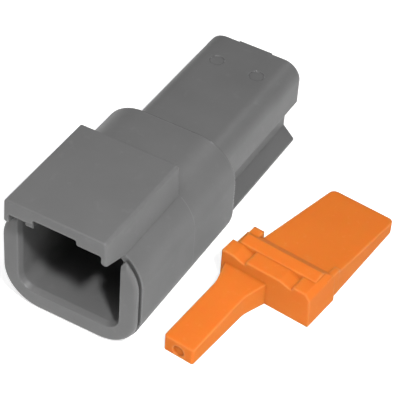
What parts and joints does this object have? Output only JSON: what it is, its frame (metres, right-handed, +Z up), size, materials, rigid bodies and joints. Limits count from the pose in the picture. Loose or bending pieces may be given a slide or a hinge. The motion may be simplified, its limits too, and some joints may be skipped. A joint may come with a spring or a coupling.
{
  "type": "sealed two-way electrical connector receptacle",
  "caption": "Grey sealed in-line receptacle housing with hood, pin contacts, wire seal and clip rail, with its orange wedge lock taken out and lying beside it.",
  "frame": {"origin": "middle of the flat underside of the broad body, on the table", "axes": "+X across the housing, towards the wedge lock; -Y out of the mating mouth, +Y towards the wires; +Z up, away from the clip rail"},
  "size_m": [0.036, 0.0487, 0.0194],
  "materials": {
    "grey_thermoplastic": "fine moulded satin",
    "orange_thermoplastic": "fine moulded satin",
    "silicone": "soft matte",
    "nickel_plated_contact": "nickel plated, turned"
  },
  "bodies": {
    "root": {"housing": "grey_thermoplastic", "wire_seal": "silicone", "pin_contact_left": "nickel_plated_contact", "pin_contact_right": "nickel_plated_contact", "wedge_lock": "orange_thermoplastic"}
  },
  "joints": []
}
